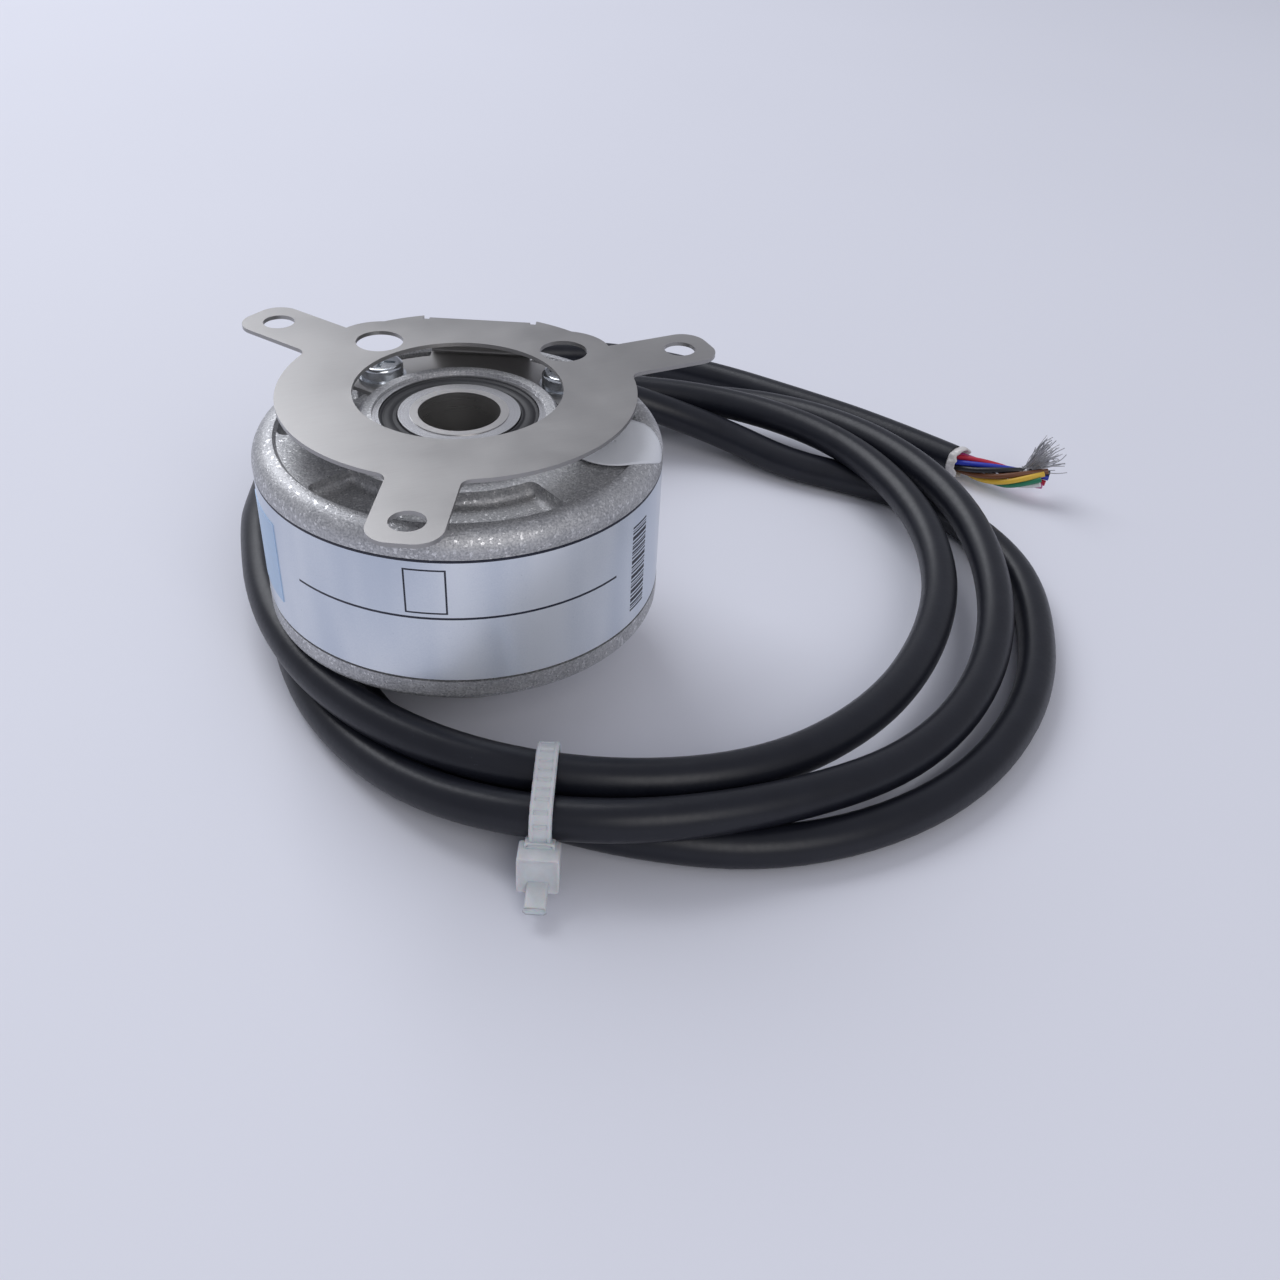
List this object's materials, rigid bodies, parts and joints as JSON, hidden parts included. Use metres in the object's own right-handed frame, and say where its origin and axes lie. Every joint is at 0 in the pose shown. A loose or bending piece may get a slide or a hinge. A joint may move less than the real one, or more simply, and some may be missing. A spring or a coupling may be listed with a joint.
{
  "type": "rotary encoder",
  "caption": "Hollow-shaft rotary encoder with an eared spring plate, round cast housing, rear clamp collar and a tied loose coil of cable with a stripped end.",
  "frame": {"origin": "centre of the hollow shaft's lower end, level with the foot of the clamp collar", "axes": "+Z along the shaft, up to the spring plate; -Y towards the single front ear; the cable leaves at +Y"},
  "size_m": [0.1325, 0.1402, 0.0384],
  "materials": {
    "cast_housing": "fine shot-blasted casting, bright sparkle",
    "bearing_steel": "ground steel",
    "cage_steel": "pressed steel",
    "shaft_steel": "turned stainless steel",
    "socket_screw": "black oxide",
    "zinc_screw": "bright zinc plate",
    "spring_sheet": "rolled stainless sheet, satin",
    "black_rubber": "moulded rubber",
    "gasket": "thin flat gasket",
    "label_foil": "silver-blue satin foil with plain printed rule, frame and bars",
    "sticker_paper": "blank white film",
    "blue_sticker": "pale blue film",
    "hub_alloy": "turned",
    "disc_glass": "clear with a ring of fine lines",
    "board": "green solder mask",
    "black_chip": "moulded package",
    "mask": "glass with chrome lines",
    "holder_plastic": "moulded",
    "lamp": "clear epoxy, dark red",
    "terminal_plastic": "moulded, cream",
    "core_wire": "thin insulation in several colours",
    "gland_plastic": "moulded black",
    "cable_jacket": "smooth blue-black jacket, satin",
    "nylon": "natural nylon, milky",
    "foil": "crumpled filler film",
    "tinned_braid": "tinned copper strands"
  },
  "bodies": {
    "stator": {"housing_body": "cast_housing", "rear_cover": "cast_housing", "front_outer_ring": "bearing_steel", "rear_outer_ring": "bearing_steel", "coupling_screws": "zinc_screw", "coupling_washers": "zinc_screw", "cover_screws": "zinc_screw", "board_screws": "zinc_screw", "spring_plate": "spring_sheet", "front_bearing_seals": "black_rubber", "rear_bearing_seals": "black_rubber", "rear_seal": "black_rubber", "gland_seal": "black_rubber", "cover_gasket": "gasket", "name_label": "label_foil", "seal_sticker": "sticker_paper", "side_sticker": "blue_sticker", "circuit_board": "board", "photo_sensor": "black_chip", "board_chips": "black_chip", "scanning_mask": "mask", "lamp_holder": "holder_plastic", "lamp": "lamp", "wire_terminal": "terminal_plastic", "lead_wires": "core_wire", "stripped_cores": "core_wire", "gland_body": "gland_plastic", "gland_nut": "gland_plastic", "cable_entry": "cable_jacket", "cable_lead": "cable_jacket", "cable_coil": "cable_jacket", "cable_tail": "cable_jacket", "cable_tie": "nylon", "cable_foil": "foil", "shield_braid": "tinned_braid"},
    "rotor": {"hollow_shaft": "shaft_steel", "inner_spacer": "shaft_steel", "retaining_ring": "shaft_steel", "clamp_collar": "shaft_steel", "collar_screw": "socket_screw", "disc_hub": "hub_alloy", "code_disc": "disc_glass", "front_inner_ring": "bearing_steel", "rear_inner_ring": "bearing_steel"},
    "front_cage": {"front_balls": "bearing_steel", "front_ball_cage": "cage_steel"},
    "rear_cage": {"rear_balls": "bearing_steel", "rear_ball_cage": "cage_steel"}
  },
  "joints": [
    {"name": "shaft_spin", "type": "hinge", "parent": "stator", "child": "rotor", "pos_m": [0, 0, 0], "axis": [0, 0, 1], "continuous": true},
    {"name": "front_cage_spin", "type": "hinge", "parent": "stator", "child": "front_cage", "pos_m": [0, 0, 0.0327], "axis": [0, 0, 1], "continuous": true},
    {"name": "rear_cage_spin", "type": "hinge", "parent": "stator", "child": "rear_cage", "pos_m": [0, 0, 0.0245], "axis": [0, 0, 1], "continuous": true}
  ],
  "couplings": [
    {"joint": "front_cage_spin", "follows": "shaft_spin", "ratio": 0.4281},
    {"joint": "rear_cage_spin", "follows": "shaft_spin", "ratio": 0.4281}
  ]
}
